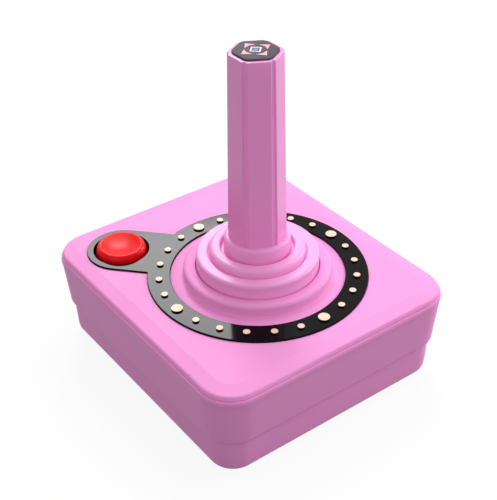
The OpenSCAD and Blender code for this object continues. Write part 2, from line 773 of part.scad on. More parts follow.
module grip_sleeve() {
    strip_w = 4 * (grip_face - grip_corner * cos(30)) * grip_taper;
    color("orchid") at_stick() rotate(grip_turn) difference() {
        translate([-2 * grip_face, -2 * grip_face, z_collar])
            cube([4 * grip_face, 4 * grip_face, grip_h]);
        for (k = [0:5]) rotate(60 * k) {
            beyond(grip_face, z_collar, grip_lean(grip_face));
            beyond(grip_face * grip_taper, z_grip - grip_chamfer, 45);
        }
        for (k = [0:5]) rotate(60 * k + 30) {
            beyond(grip_corner, z_collar, grip_lean(grip_corner));
            beyond(grip_corner * grip_taper, z_grip - grip_chamfer, 45);
            beyond(grip_corner - corner_step, z_collar, grip_lean(grip_corner), strip_w);
        }
        rod(core_r + fit, z_collar - 1, z_grip + 1);
        translate([0, 0, z_grip - cap_sunk]) linear_extrude(cap_sunk + 1)
            polygon(twelve_points(cap_face + fit, cap_corner + fit));
    }
}

module cap_plate() {
    color([0.3, 0.28, 0.3]) at_stick() rotate(grip_turn) {
        translate([0, 0, z_grip - cap_sunk]) linear_extrude(cap_sunk + cap_proud)
            polygon(twelve_points(cap_face, cap_corner));
        rod(stem_cap_r, z_grip - cap_sunk - cap_stem, z_grip - cap_sunk + 0.5);
    }
}

// Thin inlays on the cap: arrowheads that point the four ways round a small diamond
module on_cap() {
    at_stick() rotate(grip_turn) translate([0, 0, z_cap]) linear_extrude(inlay_t) children();
}
module cap_arrows() {
    color("pink") on_cap() for (a = [0:90:270]) rotate(a)
        polygon([[arrow_foot, -arrow_w / 2], [arrow_tip, 0], [arrow_foot, arrow_w / 2],
            [arrow_notch, 0]]);
}
module cap_frame() {
    color("white") on_cap() rotate(45) difference() {
        square(frame_out_w, center = true);
        square(frame_in_w, center = true);
    }
}
module cap_diamond() color("royalblue") on_cap() rotate(45) square(diamond_w, center = true);

// A cross with four fingers that press the domes, screwed to the foot of the core
module actuator() {
    color("ivory") at_stick() difference() {
        union() {
            rod(core_r + 2, z_arm, z_core + 2);
            for (a = [0, 90]) rotate(a) translate([-dome_dist, -arm_w / 2, z_arm])
                cube([2 * dome_dist, arm_w, arm_t]);
            for (a = [0:90:270]) rotate(a) translate([dome_dist, 0, 0]) {
                rod(finger_r, z_press, z_arm + 0.5);
                rod(arm_w / 2, z_arm, z_arm + arm_t);
            }
        }
        rod(core_r + fit, z_core, z_core + 3);
        rod(screw_r + screw_clear, z_arm - 1, z_core + 1);
    }
}

module actuator_screw() {
    color("silver") at_stick() translate([0, 0, z_arm])
        screw(screw_r, small_head_r + 0.4, arm_t + actuator_grip);
}

// Stem, flange, body with a rounded shoulder, and a dished top inside a crest
module fire_button() {
    dish_r = crest_r - crest_w;
    color("red") at_button() rotate_extrude($fn = 128) polygon(concat(
        [[0, z_press], [stem_r, z_press], [stem_r, z_flange - flange_t],
         [flange_r, z_flange - flange_t], [flange_r, z_flange], [button_r, z_flange]],
        [for (a = [0:15:90]) [crest_r + (button_r - crest_r) * cos(a),
            z_crest - button_shoulder_h * (1 - sin(a))]],
        [for (t = [1:-0.125:0]) [dish_r * t, z_crest - dish_d * (1 - t * t)]]));
}

upper_casing();
lower_casing();
ring_plate();
small_studs();
small_stud_tops();
large_studs();
large_stud_tops();
boot_skirt();
boot_clamp_ring();
gimbal_bracket();
bracket_screws();
circuit_board();
board_screws();
board_terminals();
dome_front();
dome_back();
dome_left();
dome_right();
dome_fire();
cable_bush();
casing_screws();
foot_front_left();
foot_front_right();
foot_back_left();
foot_back_right();
button_guide();
guide_screws();
button_spring();
gimbal_ring();
outer_pins();
inner_pins();
stick_core();
grip_sleeve();
boot_neck();
actuator();
actuator_screw();
cap_plate();
cap_arrows();
cap_frame();
cap_diamond();
fire_button();
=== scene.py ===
"""The looks of a one-button joystick controller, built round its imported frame.

Sizes are in millimetres and turned to metres when a mesh is made. Places come from the frame where
it gives them. The player sits at -Y and the fire button is at the back left.
"""
from math import atan2, ceil, cos, hypot, pi, radians, sin, sqrt

import bmesh
import bpy
from mathutils import Matrix, Vector


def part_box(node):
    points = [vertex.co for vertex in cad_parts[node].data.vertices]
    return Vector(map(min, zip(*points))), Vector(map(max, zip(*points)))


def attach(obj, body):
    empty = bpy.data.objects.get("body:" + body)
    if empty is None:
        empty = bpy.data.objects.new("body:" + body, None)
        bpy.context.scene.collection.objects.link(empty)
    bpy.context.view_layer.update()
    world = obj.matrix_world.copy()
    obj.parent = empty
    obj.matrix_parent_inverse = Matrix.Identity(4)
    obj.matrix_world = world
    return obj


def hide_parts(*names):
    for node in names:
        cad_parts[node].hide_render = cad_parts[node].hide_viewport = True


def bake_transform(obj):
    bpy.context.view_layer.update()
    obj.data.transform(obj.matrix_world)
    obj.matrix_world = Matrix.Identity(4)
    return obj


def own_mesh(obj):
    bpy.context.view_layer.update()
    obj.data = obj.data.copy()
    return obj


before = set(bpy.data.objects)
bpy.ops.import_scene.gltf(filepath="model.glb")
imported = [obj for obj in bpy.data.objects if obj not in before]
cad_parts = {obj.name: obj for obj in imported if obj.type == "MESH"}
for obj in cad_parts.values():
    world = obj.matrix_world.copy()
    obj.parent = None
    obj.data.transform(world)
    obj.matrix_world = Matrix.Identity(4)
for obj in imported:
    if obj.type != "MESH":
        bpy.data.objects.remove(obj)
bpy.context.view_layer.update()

MM = 0.001
TURN = 2 * pi

# As good as nothing, and farther than any part reaches
tiny = 1e-9
far = 1e9

# How finely round forms are divided; a rounded edge is a quarter turn in degrees
quarter = range(0, 91, 10)
plate_steps = 420
plate_side_steps = 8
plate_tab_steps = 72
plate_bore_steps = 360
button_steps = 160
boot_steps = 180
bush_steps = 72
foot_steps = 64
screw_steps = 48
post_steps = 40


# Sizes from the frame

def low(node):
    return [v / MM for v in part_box(node)[0]]


def high(node):
    return [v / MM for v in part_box(node)[1]]


def middle(node):
    return [(a + b) / 2 for a, b in zip(low(node), high(node))]


# The lower casing reaches above the seam by its tongue
tongue_h = 2

case_w = high("upper_casing")[0] - low("upper_casing")[0]
case_d = high("upper_casing")[1] - low("upper_casing")[1]
stick_x, stick_y, _ = middle("boot_skirt")
button_x, button_y, _ = middle("fire_button")
z_under = low("lower_casing")[2]
z_seam = high("lower_casing")[2] - tongue_h
z_step = high("upper_casing")[2]
z_plate = high("ring_plate")[2]
z_stud = high("small_stud_tops")[2]
z_fold2 = high("boot_skirt")[2]
z_split = low("boot_neck")[2]
z_collar = high("boot_neck")[2]
z_grip = high("grip_sleeve")[2]
z_cap = high("cap_plate")[2]
z_crest = high("fire_button")[2]
z_press = low("fire_button")[2]
z_inlet = middle("cable_bush")[2]

# Casing: its walls lean in on their way down, the upper ones by the draft
case_r = 11.4
least_corner_r = 2
wall = 2.4
top_wall = 2.5
floor_wall = 2.2
draft = 1.66
seam_step = 1.1
base_round = 2.9
base_lean = 0.35

# Crown, rounded rim and bevel; the rim's angles are in degrees, and the bevel's foot is softened by
# pairs of inset and height
plate_proud = 0.6
crown_w = 5.7
crown_drop = 0.62
crease_w = 0.12
flat_steps = 16
bevel_w = 1.6
bevel_foot = 0.52
foot_soft = ((0.03, 0.08), (0.1, 0))
rim_r = 0.95
rim_from = 82
rim_to = 16
rim_step = 6

# Groove under the bevel; its lip is a curve of insets and drops
groove_down = 2.05
groove_w = 0.22
groove_d = 0.85
lip_curve = ((0.36, 0), (0.27, 0.06), (0.17, 0.25), (0.06, 0.75), (0.0, 1.4))

# Upper wall: heights of its rings, its rounded lower edge and its inner corner
wall_top_down = 2
wall_rings = (28, 24, 20, 16)
seam_round_in = 1.35
seam_round_up = 1.6
seam_ring_up = 0.3
inner_corner_r = 2
inner_corner_bend = (0.6, 0.7)

# Lower wall: where its lean changes, its tongue and its inner corner; each pair is inset and height
lean_knee = (0.1, 8)
seam_soft = 0.05
tongue_gap = 0.3
tongue_t = 1
floor_round_less = 0.5
floor_bend = (1.1, 0.7)

# Cable inlet, with its pad's two faces along Y
inlet_pad_r = 5.0
inlet_bore_r = 3.65
inlet_reach = (46.625, 50.108)
drill_over = 2

# Screws, bosses and posts: screws count in from the sides, lugs from the stick's axis, guide bosses
# and the last post from the button's
screw_in = 10.15
screw_reach = 22
boss_r = 3.4
boss_bore_r = 1.35
z_boss = 8.8
boss_sink = 0.5
small_bore_r = 0.95
lug_dist = 26
lug_boss_r = 3.0
z_lug = 27.4
guide_boss_dist = 13.4
guide_boss_r = 2.8
z_guide_boss = 22.5
well_r = 3.2
z_well = 5.2
shank_hole_r = 1.7
socket_r = 4.4
post_r = 2.6
post_side = 20.5
post_back = 18.5
post_tail = (9.5, 4)
z_post = 9.0

# Feet: radius and height of each point of the profile, and the seat in the floor
foot_in = 12
foot_profile = ((0, 0), (4.6, 0), (4.88, 0.12), (5, 0.4), (5, 1.6), (0, 1.6))
foot_seat_r = 5.1
foot_seat_d = 0.8

# Ring plate, its pocket and its studs; an edge's bend is a share of the edge
plate_out_r = 35.7
plate_in_r = 28.4
plate_edge = 0.12
edge_bend = 0.3
tab_r = 11.35
tab_skew = radians(5.5)
tab_aim = atan2(stick_y - button_y, stick_x - button_x) + tab_skew
pocket_d = 0.4
pocket_gap = 0.1
pocket_edge = 0.12
pocket_bend = pocket_edge / 3
stud_circle_r = 32
stud_count = 24
large_studs = 4
small_stud_r = 1.1
large_stud_r = 1.85
stud_top_t = 0.15
stud_edge = 0.07
stud_bend = 0.02
ring_turn = radians(2.05)

# Raised ring that is moulded on the casing
hole_r = 20.1
hole_round = 0.3
recess_r = 21.8
recess_d = 2.4
step_r = 24
step_round = 1.4
step_fillet = 0.8

# Boot: two steps and a collar, with a channel inside each step
fold2_r = 19.8
fold2_round = 1.0
fold2_channel_w = 0.45
fold2_channel_d = 0.7
fold1_r = 15.4
fold1_round = 1.3
fold1_rise = 2.4
fold1_channel_w = 1.25
fold1_channel_d = 1.9
channel_round = 0.5
channel_soft = 0.1
skirt_soft = 0.15
collar_r = 10.6
collar_round = 1.0
collar_t = 1.6
collar_soft = 0.2
collar_bend = 0.06
rubber_t = 1.2
flange_gap = 0.3
split_gap = 0.03
profile_step = 0.45

# Grip and cap; the taper is the top's share of the foot's size, and a rounded edge starts at a share
# of its own size
grip_face = 8.49
grip_corner = 9.28
grip_taper = 0.887
grip_edge = 0.42
edge_start = 0.7
strip_d = 0.4
strip_half = 0.46
grip_chamfer = 0.2
grip_foot = 0.1
grip_rings = 12
grip_turn = 0.0
core_bore_r = 5.25
cap_face = 6.33
cap_corner = 6.86
cap_edge = 0.1
cap_gap = 0.05
cap_seat_d = 1
cap_stem_r = 2
cap_stem_d = 5

# Fire button
button_r = 8.35
crest_r = 6.95
crest_w = 0.3
dish_d = 1.0
dish_steps = 24
shoulder_h = 2.6
shoulder_steps = 16
button_hole_r = 9.24
# The ring plate's black sleeve, hanging into the button's hole, is painted shade that darkens the gap
# round the button
shade_sleeve_t = 0.4
shade_sleeve_h = 1.8
shade_sleeve_gap = 0.05
collar_wall = 1.6
flange_r = 10.3
flange_t = 1.6
flange_down = 2.2
flange_gap_up = 0.2
stem_r = 2.5

# Cable bush
bush_body_r = 3.6
bush_lip_r = 4.6
bush_bore_r = 2.6
bush_lip_t = 0.6
bush_soft = 0.15
bush_round = 0.2
bush_bend = 0.06

# Heights that follow from these sizes
z_top = z_plate - plate_proud
z_groove = z_top - groove_down
z_ceiling = z_top - top_wall
z_floor = z_under + floor_wall
z_pocket = z_top - pocket_d
z_recess = z_step - recess_d
z_fold1 = z_fold2 + fold1_rise
z_flange = z_ceiling - flange_down

# Places that follow from these sizes
screw_spots = [(sx * (case_w / 2 - screw_in), stick_y + sy * screw_reach)
               for sx in (-1, 1) for sy in (-1, 1)]
foot_spots = [(sx * (case_w / 2 - foot_in), sy * (case_d / 2 - foot_in))
              for sx in (-1, 1) for sy in (-1, 1)]
post_spots = [(stick_x - post_side, stick_y - post_side), (stick_x + post_side, stick_y - post_side),
              (stick_x + post_side, stick_y + post_back),
              (button_x + post_tail[0], button_y + post_tail[1])]


# Building meshes

weld = 0.0005
least_edge = 0.0001


def arc(x, y, r, a0, a1, n=8):
    """Points on an arc; the angles are in degrees."""
    steps = [radians(a0 + (a1 - a0) * i / n) for i in range(n + 1)]
    return [(x + r * cos(a), y + r * sin(a)) for a in steps]


def circle(cx, cy, z, r, n=128):
    """A level circle of n points."""
    return [(cx + r * cos(TURN * i / n), cy + r * sin(TURN * i / n), z) for i in range(n)]


class Shell:
    """Collects the faces of one closed surface and welds them where they meet."""

    def __init__(self):
        self.bm = bmesh.new()

    def loop(self, points):
        return [self.bm.verts.new(p) for p in points]

    def strip(self, a, b):
        """Quads between two closed loops with as many points each."""
        n = len(a)
        for i in range(n):
            j = (i + 1) % n
            self.bm.faces.new((a[i], a[j], b[j], b[i]))

    def skin(self, rings):
        """A surface over a stack of closed loops."""
        loops = [self.loop(r) for r in rings]
        for a, b in zip(loops, loops[1:]):
            self.strip(a, b)

    def cap(self, points):
        self.bm.faces.new(self.loop(points))

    def flat(self, outlines):
        """A level face inside the first outline, with the others cut out of it."""
        edges = []
        for points in outlines:
            verts = self.loop(points)
            for a, b in zip(verts, verts[1:] + verts[:1]):
                edges.append(self.bm.edges.new((a, b)))
        bmesh.ops.triangle_fill(self.bm, edges=edges, use_beauty=True, use_dissolve=False)

    def revolve(self, profile, cx, cy, steps):
        """Turns a closed profile of (radius, height) round an upright axis."""
        rings = [circle(cx, cy, z, r, steps) if r > tiny else None for r, z in profile]
        for k in range(len(profile)):
            after = (k + 1) % len(profile)
            a, b = rings[k], rings[after]
            if a and b:
                self.skin([a, b])
            elif a or b:
                z = profile[k][1] if a is None else profile[after][1]
                rim = self.loop(a or b)
                tip = self.bm.verts.new((cx, cy, z))
                for i in range(steps):
                    self.bm.faces.new((rim[i], rim[(i + 1) % steps], tip))

    def tube(self, cx, cy, r_out, r_in, z0, z1):
        """An upright post with a bore right through it."""
        self.revolve([(r_in, z0), (r_out, z0), (r_out, z1), (r_in, z1)], cx, cy, post_steps)

    def done(self, name, sharp=35):
        """Welds, turns the faces outwards and makes the object, in metres."""
        bmesh.ops.remove_doubles(self.bm, verts=self.bm.verts, dist=weld)
        bmesh.ops.dissolve_degenerate(self.bm, edges=self.bm.edges, dist=least_edge)
        bmesh.ops.recalc_face_normals(self.bm, faces=self.bm.faces)
        bmesh.ops.scale(self.bm, vec=(MM, MM, MM), verts=self.bm.verts)
        mesh = bpy.data.meshes.new(name)
        self.bm.to_mesh(mesh)
        self.bm.free()
        mesh.shade_smooth()
        mesh.set_sharp_from_angle(angle=radians(sharp))
        return placed(name, mesh)


def placed(name, content):
    """A new object in the scene."""
    thing = bpy.data.objects.new(name, content)
    bpy.context.scene.collection.objects.link(thing)
    return thing


def paint(piece, slot):
    piece.data.materials.clear()
    piece.data.materials.append(skins[slot])


def dress(piece, slot, body, *nodes):
    """Gives a piece its material, its body and the CAD nodes that it stands for."""
    paint(piece, slot)
    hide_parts(*nodes)
    if body:
        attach(piece, body)


# Outlines

def rect_reach(cx, cy, a, inset):
    """How far a ray from (cx, cy) at angle a runs to the casing's outline, set in by inset."""
    half_w, half_d = case_w / 2 - inset, case_d / 2 - inset
    r = max(case_r - inset, least_corner_r)
    ux, uy = cos(a), sin(a)
    tx = ((half_w if ux > 0 else -half_w) - cx) / ux if abs(ux) > tiny else far
    ty = ((half_d if uy > 0 else -half_d) - cy) / uy if abs(uy) > tiny else far
    t = min(tx, ty)
    x, y = cx + t * ux, cy + t * uy
    if abs(x) <= half_w - r or abs(y) <= half_d - r:
        return t
    kx = (half_w - r) * (1 if x > 0 else -1) - cx
    ky = (half_d - r) * (1 if y > 0 else -1) - cy
    along = kx * ux + ky * uy
    return along + sqrt(max(r * r - (kx * kx + ky * ky - along * along), 0))


def at_rays(angles, inset, z):
    """The casing's outline where the rays from the stick's axis meet it."""
    points = []
    for a in angles:
        t = rect_reach(stick_x, stick_y, a, inset)
        points.append((stick_x + t * cos(a), stick_y + t * sin(a), z))
    return points


def rect_loop(inset, z, n=16):
    """The casing's rounded outline, set in by inset."""
    r = max(case_r - inset, least_corner_r)
    half_w, half_d = case_w / 2 - inset - r, case_d / 2 - inset - r
    points = []
    for k, (sx, sy) in enumerate(((1, 1), (-1, 1), (-1, -1), (1, -1))):
        for i in range(n + 1):
            a = pi / 2 * (k + i / n)
            points.append((sx * half_w + r * cos(a), sy * half_d + r * sin(a), z))
    return points


def wall_inset(z):
    """How far the upper casing's leaning wall is set in at height z."""
    return draft * (z_groove - z) / (z_groove - z_seam)


def sweep(cx, cy, r, start, turn, n):
    """Points on an arc, without its end."""
    return [(cx + r * cos(start + turn * i / n), cy + r * sin(start + turn * i / n)) for i in range(n)]


def stretch(start, end, n):
    """Points on a straight line, without its end."""
    (x0, y0), (x1, y1) = start, end
    return [(x0 + (x1 - x0) * i / n, y0 + (y1 - y0) * i / n) for i in range(n)]


def plate_points(grow):
    """The ring plate's outer outline: most of a circle, and a tab round the fire button."""
    ring, tab = plate_out_r + grow, tab_r + grow
    along = (cos(tab_aim), sin(tab_aim))
    bx, by = button_x - stick_x, button_y - stick_y
    corners = []
    for side in (1, -1):
        nx, ny = -along[1] * side, along[0] * side
        px, py = bx + tab * nx, by + tab * ny
        dot = px * along[0] + py * along[1]
        t = -dot - sqrt(dot * dot - (px * px + py * py - ring * ring))
        corners.append(((px, py), (px + t * along[0], py + t * along[1])))
    (p_left, c_left), (p_right, c_right) = corners
    a0 = atan2(c_left[1], c_left[0])
    a1 = atan2(c_right[1], c_right[0])
    if a1 > a0:
        start, span, first, last = a1, TURN - (a1 - a0), (c_left, p_left), (p_right, c_right)
    else:
        start, span, first, last = a0, TURN - (a0 - a1), (c_right, p_right), (p_left, c_left)
    tab_from = atan2(first[1][1] - by, first[1][0] - bx)
    tab_to = atan2(last[0][1] - by, last[0][0] - bx)
    points = sweep(0, 0, ring, start, span, plate_steps) + stretch(*first, plate_side_steps)
    points += sweep(bx, by, tab, tab_from, (tab_to - tab_from) % TURN, plate_tab_steps)
    points += stretch(*last, plate_side_steps)
    return [(stick_x + x, stick_y + y) for x, y in points]


def finer(profile, step):
    """The same profile with its long pieces divided."""
    out = [profile[0]]
    for (x0, y0), (x1, y1) in zip(profile, profile[1:]):
        n = max(1, ceil(hypot(x1 - x0, y1 - y0) / step))
        out += [(x0 + (x1 - x0) * i / n, y0 + (y1 - y0) * i / n) for i in range(1, n + 1)]
    return out


# Materials

grain_scale = 3000
grain_depth = 0.00002
least_rough = 0.02


def grain(tree, scale, detail=3.0):
    """A fine noise fixed to the object."""
    place = tree.nodes.new("ShaderNodeTexCoord")
    noise = tree.nodes.new("ShaderNodeTexNoise")
    noise.inputs["Scale"].default_value = scale
    noise.inputs["Detail"].default_value = detail
    tree.links.new(place.outputs["Object"], noise.inputs["Vector"])
    return noise.outputs["Fac"]


def finish_of(name, colour, rough, bump=0.05, vary=0.03, metal=0.0, specular=0.5, rough_vary=0.04,
              broad=60):
    """A painted, moulded or metal surface with a fine grain and slightly uneven colour."""
    material = bpy.data.materials.new(name)
    material.use_nodes = True
    tree = material.node_tree
    shader = tree.nodes["Principled BSDF"]
    shader.inputs["Metallic"].default_value = metal
    shader.inputs["Specular IOR Level"].default_value = specular
    wide = grain(tree, broad, 2.0)
    mix = tree.nodes.new("ShaderNodeMix")
    mix.data_type = "RGBA"
    dark = [c * (1 - vary) for c in colour]
    light = [min(c * (1 + vary), 1.0) for c in colour]
    mix.inputs["A"].default_value = (*dark, 1)
    mix.inputs["B"].default_value = (*light, 1)
    tree.links.new(wide, mix.inputs["Factor"])
    tree.links.new(mix.outputs["Result"], shader.inputs["Base Color"])
    spread = tree.nodes.new("ShaderNodeMapRange")
    spread.inputs["To Min"].default_value = max(rough - rough_vary, least_rough)
    spread.inputs["To Max"].default_value = min(rough + rough_vary, 1.0)
    fine = grain(tree, grain_scale)
    tree.links.new(fine, spread.inputs["Value"])
    tree.links.new(spread.outputs["Result"], shader.inputs["Roughness"])
    relief = tree.nodes.new("ShaderNodeBump")
    relief.inputs["Strength"].default_value = bump
    relief.inputs["Distance"].default_value = grain_depth
    tree.links.new(fine, relief.inputs["Height"])
    tree.links.new(relief.outputs["Normal"], shader.inputs["Normal"])
    return material


pink = (0.95, 0.36, 0.735)
boot_pink = (1.0, 0.41, 0.78)
grip_pink = (0.96, 0.335, 0.73)
skins = {
    "casing": finish_of("casing_pink", pink, 0.42, bump=0.10, vary=0.012, specular=0.07),
    "grip": finish_of("grip_pink", grip_pink, 0.3, bump=0.10, vary=0.012, specular=0.45),
    "boot": finish_of("boot_pink", boot_pink, 0.3, bump=0.15, vary=0.02, specular=0.25),
    "plate": finish_of("plate_black", (0.003, 0.002, 0.003), 0.09, bump=0.004, vary=0.1,
                       specular=0.1, rough_vary=0.01),
    "stud": finish_of("stud_black", (0.003, 0.003, 0.003), 0.25, bump=0.02, vary=0.1,
                      specular=0.1),
    "stud_top": finish_of("stud_cream", (1.0, 0.66, 0.5), 0.35, bump=0.01, vary=0.02,
                          specular=0.4, rough_vary=0.02),
    "cap": finish_of("cap_charcoal", (0.068, 0.058, 0.066), 0.5, bump=0.05, vary=0.05,
                     specular=0.16),
    "inlay_pink": finish_of("inlay_pink", (0.86, 0.35, 0.55), 0.4, vary=0.02),
    "inlay_white": finish_of("inlay_white", (0.8, 0.8, 0.78), 0.4, vary=0.02),
    "inlay_blue": finish_of("inlay_blue", (0.05, 0.14, 0.55), 0.4, vary=0.02),
    "button": finish_of("button_red", (0.85, 0.002, 0.005), 0.3, bump=0.01, vary=0.02,
                        specular=0.13, rough_vary=0.01),
    "bracket": finish_of("bracket_grey", (0.16, 0.18, 0.21), 0.5, vary=0.04),
    "gimbal": finish_of("gimbal_grey", (0.42, 0.46, 0.52), 0.45, vary=0.04),
    "core": finish_of("core_ivory", (0.78, 0.74, 0.64), 0.45, vary=0.03),
    "steel": finish_of("steel", (0.62, 0.62, 0.63), 0.28, metal=1.0, vary=0.04, bump=0.06),
    "terminal": finish_of("tinned_brass", (0.72, 0.66, 0.5), 0.3, metal=1.0, vary=0.05),
    "board": finish_of("board_green", (0.02, 0.16, 0.07), 0.35, vary=0.12, broad=400),
    "dome": finish_of("dome_silicone", (0.62, 0.62, 0.6), 0.6, vary=0.04),
    "foot": finish_of("foot_rubber", (0.02, 0.02, 0.02), 0.75, bump=0.3, vary=0.1),
    "bush": finish_of("bush_rubber", (0.016, 0.016, 0.018), 0.6, bump=0.2, vary=0.1),
}


# Upper casing

def rod(name, r, y0, y1):
    """A round bar along Y at the cable inlet, for its pad and its hole."""
    shell = Shell()
    turns = [TURN * i / foot_steps for i in range(foot_steps)]
    ends = [shell.loop([(r * cos(a), y, z_inlet + r * sin(a)) for a in turns]) for y in (y0, y1)]
    shell.strip(*ends)
    for end in ends:
        shell.bm.faces.new(end)
    return shell.done(name)


def cable_hole(shell):
    """Adds the cable inlet's flat pads to the back wall and bores them through."""
    piece = shell.done("case_blank")
    pad = rod("inlet_pad", inlet_pad_r, *inlet_reach)
    drill = rod("inlet_drill", inlet_bore_r, inlet_reach[0] - drill_over, inlet_reach[1] + drill_over)
    for tool, how in ((pad, "UNION"), (drill, "DIFFERENCE")):
        cut = piece.modifiers.new(tool.name, "BOOLEAN")
        cut.operation = how
        cut.object = tool
        cut.solver = "EXACT"
    graph = bpy.context.evaluated_depsgraph_get()
    bored = Shell()
    bored.bm.from_mesh(piece.evaluated_get(graph).data)
    bmesh.ops.scale(bored.bm, vec=(1 / MM, 1 / MM, 1 / MM), verts=bored.bm.verts)
    for spare in (piece, pad, drill):
        bpy.data.objects.remove(spare)
    return bored


def top_rings(angles, pocket):
    """The flat and the crown, from the pocket's edge to the bevel."""
    rings = [[(x, y, z_pocket) for x, y in pocket]]
    for out, down in ((0, pocket_edge), (pocket_bend, pocket_bend), (pocket_edge, 0)):
        edge = plate_points(pocket_gap + out)
        rings.append([(x, y, z_top - down) for x, y in edge])
    pocket_rim = rings[-1]
    crease = at_rays(angles, crown_w + crease_w, 0)
    for k in range(1, flat_steps + 1):
        t = k / flat_steps
        rings.append([(x0 + (x1 - x0) * t, y0 + (y1 - y0) * t, z_top)
                      for (x0, y0, _), (x1, y1, _) in zip(pocket_rim, crease)])
    for inset in (crown_w, crown_w - crease_w, (crown_w + bevel_w) / 2, bevel_w + crease_w, bevel_w):
        fall = crown_drop * (crown_w - inset) / (crown_w - bevel_w)
        rings.append(at_rays(angles, inset, z_top - fall))
    return rings


def side_rings(angles):
    """The bevel, the groove, the leaning wall, its rounded lower edge and the inner wall."""
    rings = []
    rim_x = bevel_w + rim_r * cos(radians(rim_from))
    rim_z = z_top - crown_drop - rim_r * sin(radians(rim_from))
    for a in range(rim_from - rim_step, rim_to - 1, -rim_step):
        inset = rim_x - rim_r * cos(radians(a))
        rings.append(at_rays(angles, inset, rim_z + rim_r * sin(radians(a))))
    z_foot, z_lip = z_groove + groove_w / 2, z_groove - groove_w / 2
    for more, up in foot_soft:
        rings.append(at_rays(angles, bevel_foot + more, z_foot + up))
    rings += [at_rays(angles, groove_d, z) for z in (z_foot, z_lip)]
    rings += [at_rays(angles, inset, z_lip - down) for inset, down in lip_curve]
    for z in (z_groove - wall_top_down, *wall_rings, z_seam + seam_round_up + seam_ring_up):
        rings.append(at_rays(angles, wall_inset(z), z))
    lift = wall_inset(z_seam + seam_round_up)
    for a in quarter:
        inset = lift + (draft + seam_round_in - lift) * (1 - cos(radians(a)))
        rings.append(at_rays(angles, inset, z_seam + seam_round_up * (1 - sin(radians(a)))))
    rings.append(at_rays(angles, draft + wall, z_seam))
    z_corner = z_ceiling - inner_corner_r
    rings.append(at_rays(angles, wall_inset(z_corner) + wall, z_corner))
    rings.append(at_rays(angles, wall + inner_corner_bend[0], z_ceiling - inner_corner_bend[1]))
    rings.append(at_rays(angles, wall + inner_corner_r, z_ceiling))
    return rings


def upper_casing():
    shell = Shell()
    pocket = plate_points(pocket_gap)
    angles = [atan2(y - stick_y, x - stick_x) for x, y in pocket]

    def ray_circle(r, z):
        return [(stick_x + r * cos(a), stick_y + r * sin(a), z) for a in angles]

    # Raised ring, from the underside of its rim to the plate's pocket
    z_bend = z_step - hole_round
    inner = [(recess_r, z_ceiling), (recess_r, z_recess), (hole_r, z_recess), (hole_r, z_bend)]
    inner += arc(hole_r + hole_round, z_bend, hole_round, 180, 90, 4)[1:]
    inner += arc(step_r - step_round, z_step - step_round, step_round, 90, 0, 10)
    inner += arc(step_r + step_fillet, z_top + step_fillet, step_fillet, 180, 270, 10)
    pocket_in = plate_in_r - pocket_gap
    inner += [(pocket_in - pocket_edge, z_top), (pocket_in - pocket_bend, z_top - pocket_bend),
              (pocket_in, z_top - pocket_edge), (pocket_in, z_pocket)]
    shell.skin([ray_circle(r, z) for r, z in inner])

    # Pocket floor, with the button's hole
    # The button's well is widened for the plate's black sleeve of painted shade
    button_well_r = button_hole_r + shade_sleeve_t + shade_sleeve_gap
    shell.flat([[(x, y, z_pocket) for x, y in pocket], ray_circle(pocket_in, z_pocket),
                circle(button_x, button_y, z_pocket, button_well_r)])

    rings = top_rings(angles, pocket) + side_rings(angles)
    shell.skin(rings)

    # Ceiling and the collar round the button
    collar_r_out = button_hole_r + collar_wall
    shell.flat([rings[-1], ray_circle(recess_r, z_ceiling),
                circle(button_x, button_y, z_ceiling, collar_r_out)])
    z_end = z_flange + flange_gap_up
    shell.skin([circle(button_x, button_y, z_pocket, button_well_r),
                circle(button_x, button_y, z_end, button_well_r),
                circle(button_x, button_y, z_end, collar_r_out),
                circle(button_x, button_y, z_ceiling, collar_r_out)])

    shell = cable_hole(shell)

    # Screw bosses, which reach a little way into the top
    z_root = z_ceiling + boss_sink
    for x, y in screw_spots:
        shell.tube(x, y, boss_r, boss_bore_r, z_boss, z_root)
    for k in range(4):
        a = radians(45 + 90 * k)
        x, y = stick_x + lug_dist * cos(a), stick_y + lug_dist * sin(a)
        shell.tube(x, y, lug_boss_r, small_bore_r, z_lug, z_root)
    for side in (-guide_boss_dist, guide_boss_dist):
        x, y = button_x + side * cos(tab_aim), button_y + side * sin(tab_aim)
        shell.tube(x, y, guide_boss_r, small_bore_r, z_guide_boss, z_root)
    dress(shell.done("case_top"), "casing", "housing", "upper_casing")


upper_casing()


# Lower casing

